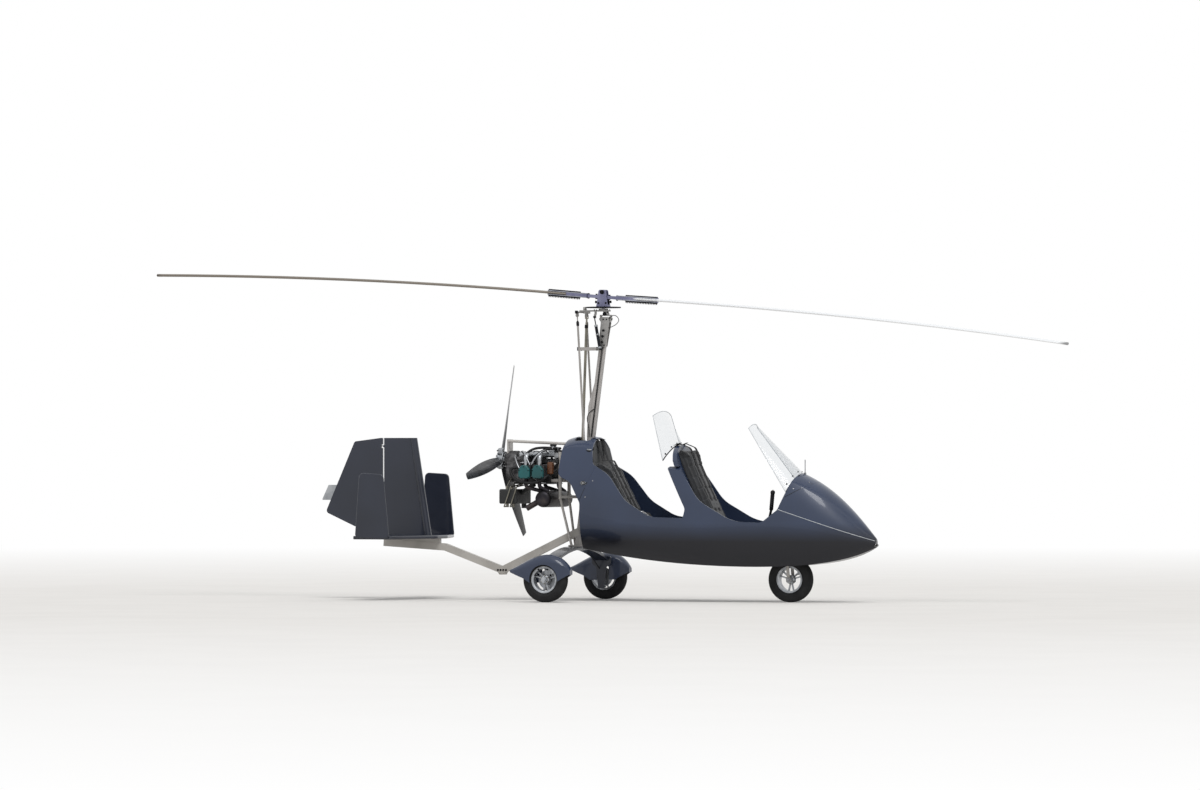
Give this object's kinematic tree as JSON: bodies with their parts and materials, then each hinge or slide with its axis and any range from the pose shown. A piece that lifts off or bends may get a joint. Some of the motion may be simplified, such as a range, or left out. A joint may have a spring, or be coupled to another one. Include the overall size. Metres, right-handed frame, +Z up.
{
  "type": "gyrocopter",
  "caption": "Open tandem gyrocopter with a teetering rotor on a raked mast, a pusher propeller, main wheels in spats, a steered nose wheel and a rudder between end fins.",
  "frame": {"origin": "on the ground under the middle of the parked rotor's length, on the centre plane", "axes": "+X forward, +Y to port, +Z up; the tyres stand on Z = 0"},
  "size_m": [8.3716, 1.6795, 2.8668],
  "materials": {
    "body_paint": "gloss dark blue-grey paint over moulded composite",
    "tail_paint": "gloss dark blue-grey paint over foam-cored composite",
    "clear_sheet": "clear formed acrylic",
    "seat_moulding": "satin moulded composite",
    "seat_fabric": "black padded seat cloth",
    "panel_black": "satin black panel",
    "frame_paint": "light grey painted steel tube",
    "control_metal": "black anodised",
    "lens": "clear lamp lens",
    "head_alloy": "machined alloy",
    "hub_alloy": "blue-grey anodised alloy",
    "black_alloy": "black anodised",
    "bright_steel": "ground steel",
    "blade_alloy": "satin drawn alloy",
    "tyre": "black ribbed rubber",
    "rim_alloy": "cast alloy",
    "gear_bow": "gloss blue-grey paint",
    "engine_metal": "cast alloy",
    "cover_paint": "teal paint",
    "exhaust_steel": "heat-stained steel",
    "silencer_black": "satin black heat paint",
    "blade_composite": "black composite"
  },
  "bodies": {
    "airframe": {"hull_tub": "body_paint", "wheel_well": "panel_black", "nose_cowl": "body_paint", "instrument_pod": "body_paint", "rear_cowl": "body_paint", "frame_keel": "frame_paint", "front_windscreen": "clear_sheet", "rear_windscreen": "clear_sheet", "front_seat_shell": "seat_moulding", "front_cushions": "seat_fabric", "rear_seat_shell": "seat_moulding", "rear_cushions": "seat_fabric", "instrument_panel": "panel_black", "cockpit_controls": "control_metal", "position_lights": "lens", "pitot_tube": "bright_steel", "mast": "frame_paint", "mast_head": "head_alloy", "trim_cylinder": "control_metal", "main_gear": "gear_bow", "wheel_spats": "body_paint", "tail_boom": "frame_paint", "stabiliser": "tail_paint", "centre_fin": "tail_paint", "end_fins": "tail_paint", "engine_block": "engine_metal", "valve_covers": "cover_paint", "intake_pipes": "head_alloy", "exhaust_system": "exhaust_steel", "rear_silencer": "silencer_black", "silencer_mounts": "bright_steel", "engine_mount": "frame_paint"},
    "gimbal": {"gimbal": "head_alloy"},
    "rotor_head": {"head_bridge": "head_alloy"},
    "rotor_mount": {"rotor_tower": "hub_alloy", "ring_gear": "black_alloy"},
    "rotor": {"hub_bar": "hub_alloy", "rotor_blades": "blade_alloy"},
    "rod_end_left": {"rod_ball_left": "bright_steel"},
    "rod_end_right": {"rod_ball_right": "bright_steel"},
    "control_rod_left": {"control_rod_left": "head_alloy"},
    "control_rod_right": {"control_rod_right": "head_alloy"},
    "shaft_joint": {"shaft_cross": "bright_steel"},
    "prerotator_shaft": {"prerotator_shaft": "bright_steel"},
    "nose_fork": {"nose_fork": "frame_paint"},
    "nose_wheel": {"nose_rim": "rim_alloy", "nose_tyre": "tyre"},
    "left_wheel": {"left_rim": "rim_alloy", "left_tyre": "tyre"},
    "right_wheel": {"right_rim": "rim_alloy", "right_tyre": "tyre"},
    "rudder": {"rudder": "tail_paint", "rudder_tab": "head_alloy"},
    "propeller": {"propeller_hub": "head_alloy", "propeller_blades": "blade_composite"}
  },
  "joints": [
    {"name": "head_roll", "type": "hinge", "parent": "airframe", "child": "gimbal", "pos_m": [0.037, 0, 2.44], "axis": [1, 0, 0], "range_deg": [-9, 9]},
    {"name": "head_pitch", "type": "hinge", "parent": "gimbal", "child": "rotor_head", "pos_m": [0.037, 0, 2.483], "axis": [0, 1, 0], "range_deg": [-18, 0]},
    {"name": "rotor_spin", "type": "hinge", "parent": "rotor_head", "child": "rotor_mount", "pos_m": [0.012, 0, 2.54], "axis": [0, 0, 1], "continuous": true},
    {"name": "rotor_teeter", "type": "hinge", "parent": "rotor_mount", "child": "rotor", "pos_m": [0.012, 0, 2.673], "axis": [0, 1, 0], "range_deg": [-12.45, 3.55]},
    {"name": "rod_end_right_tilt", "type": "hinge", "parent": "rotor_head", "child": "rod_end_right", "pos_m": [-0.186, -0.115, 2.47], "axis": [0, 1, 0], "range_deg": [-1, 19]},
    {"name": "rod_right_swing", "type": "hinge", "parent": "rod_end_right", "child": "control_rod_right", "pos_m": [-0.186, -0.115, 2.47], "axis": [1, 0, 0], "range_deg": [-10, 10]},
    {"name": "rod_end_left_tilt", "type": "hinge", "parent": "rotor_head", "child": "rod_end_left", "pos_m": [-0.186, 0.115, 2.47], "axis": [0, 1, 0], "range_deg": [-1, 19]},
    {"name": "rod_left_swing", "type": "hinge", "parent": "rod_end_left", "child": "control_rod_left", "pos_m": [-0.186, 0.115, 2.47], "axis": [1, 0, 0], "range_deg": [-10, 10]},
    {"name": "shaft_joint_tilt", "type": "hinge", "parent": "rotor_head", "child": "shaft_joint", "pos_m": [-0.14, 0, 2.468], "axis": [0, 1, 0], "range_deg": [-1, 19]},
    {"name": "shaft_swing", "type": "hinge", "parent": "shaft_joint", "child": "prerotator_shaft", "pos_m": [-0.14, 0, 2.468], "axis": [1, 0, 0], "range_deg": [-10, 10]},
    {"name": "nose_steer", "type": "hinge", "parent": "airframe", "child": "nose_fork", "pos_m": [1.724, 0, 0.195], "axis": [-0.0993, 0, 0.9951], "range_deg": [-25, 25]},
    {"name": "nose_wheel_spin", "type": "hinge", "parent": "nose_fork", "child": "nose_wheel", "pos_m": [1.724, 0, 0.195], "axis": [0, 1, 0], "continuous": true},
    {"name": "left_wheel_spin", "type": "hinge", "parent": "airframe", "child": "left_wheel", "pos_m": [-0.24, 0.75, 0.195], "axis": [0, 1, 0], "continuous": true},
    {"name": "right_wheel_spin", "type": "hinge", "parent": "airframe", "child": "right_wheel", "pos_m": [-0.24, -0.75, 0.195], "axis": [0, 1, 0], "continuous": true},
    {"name": "rudder_hinge", "type": "hinge", "parent": "airframe", "child": "rudder", "pos_m": [-2.034, 0, 1], "axis": [0, 0, 1], "range_deg": [-30, 30]},
    {"name": "propeller_spin", "type": "hinge", "parent": "airframe", "child": "propeller", "pos_m": [-0.925, 0, 1.228], "axis": [1, 0, 0], "continuous": true}
  ],
  "couplings": [
    {"joint": "rod_end_right_tilt", "follows": "head_pitch", "ratio": -1},
    {"joint": "rod_end_left_tilt", "follows": "head_pitch", "ratio": -1},
    {"joint": "rod_right_swing", "follows": "head_roll", "ratio": -1},
    {"joint": "rod_left_swing", "follows": "head_roll", "ratio": -1},
    {"joint": "shaft_joint_tilt", "follows": "head_pitch", "ratio": -1},
    {"joint": "shaft_swing", "follows": "head_roll", "ratio": -1},
    {"joint": "rudder_hinge", "follows": "nose_steer", "ratio": -1.2}
  ]
}
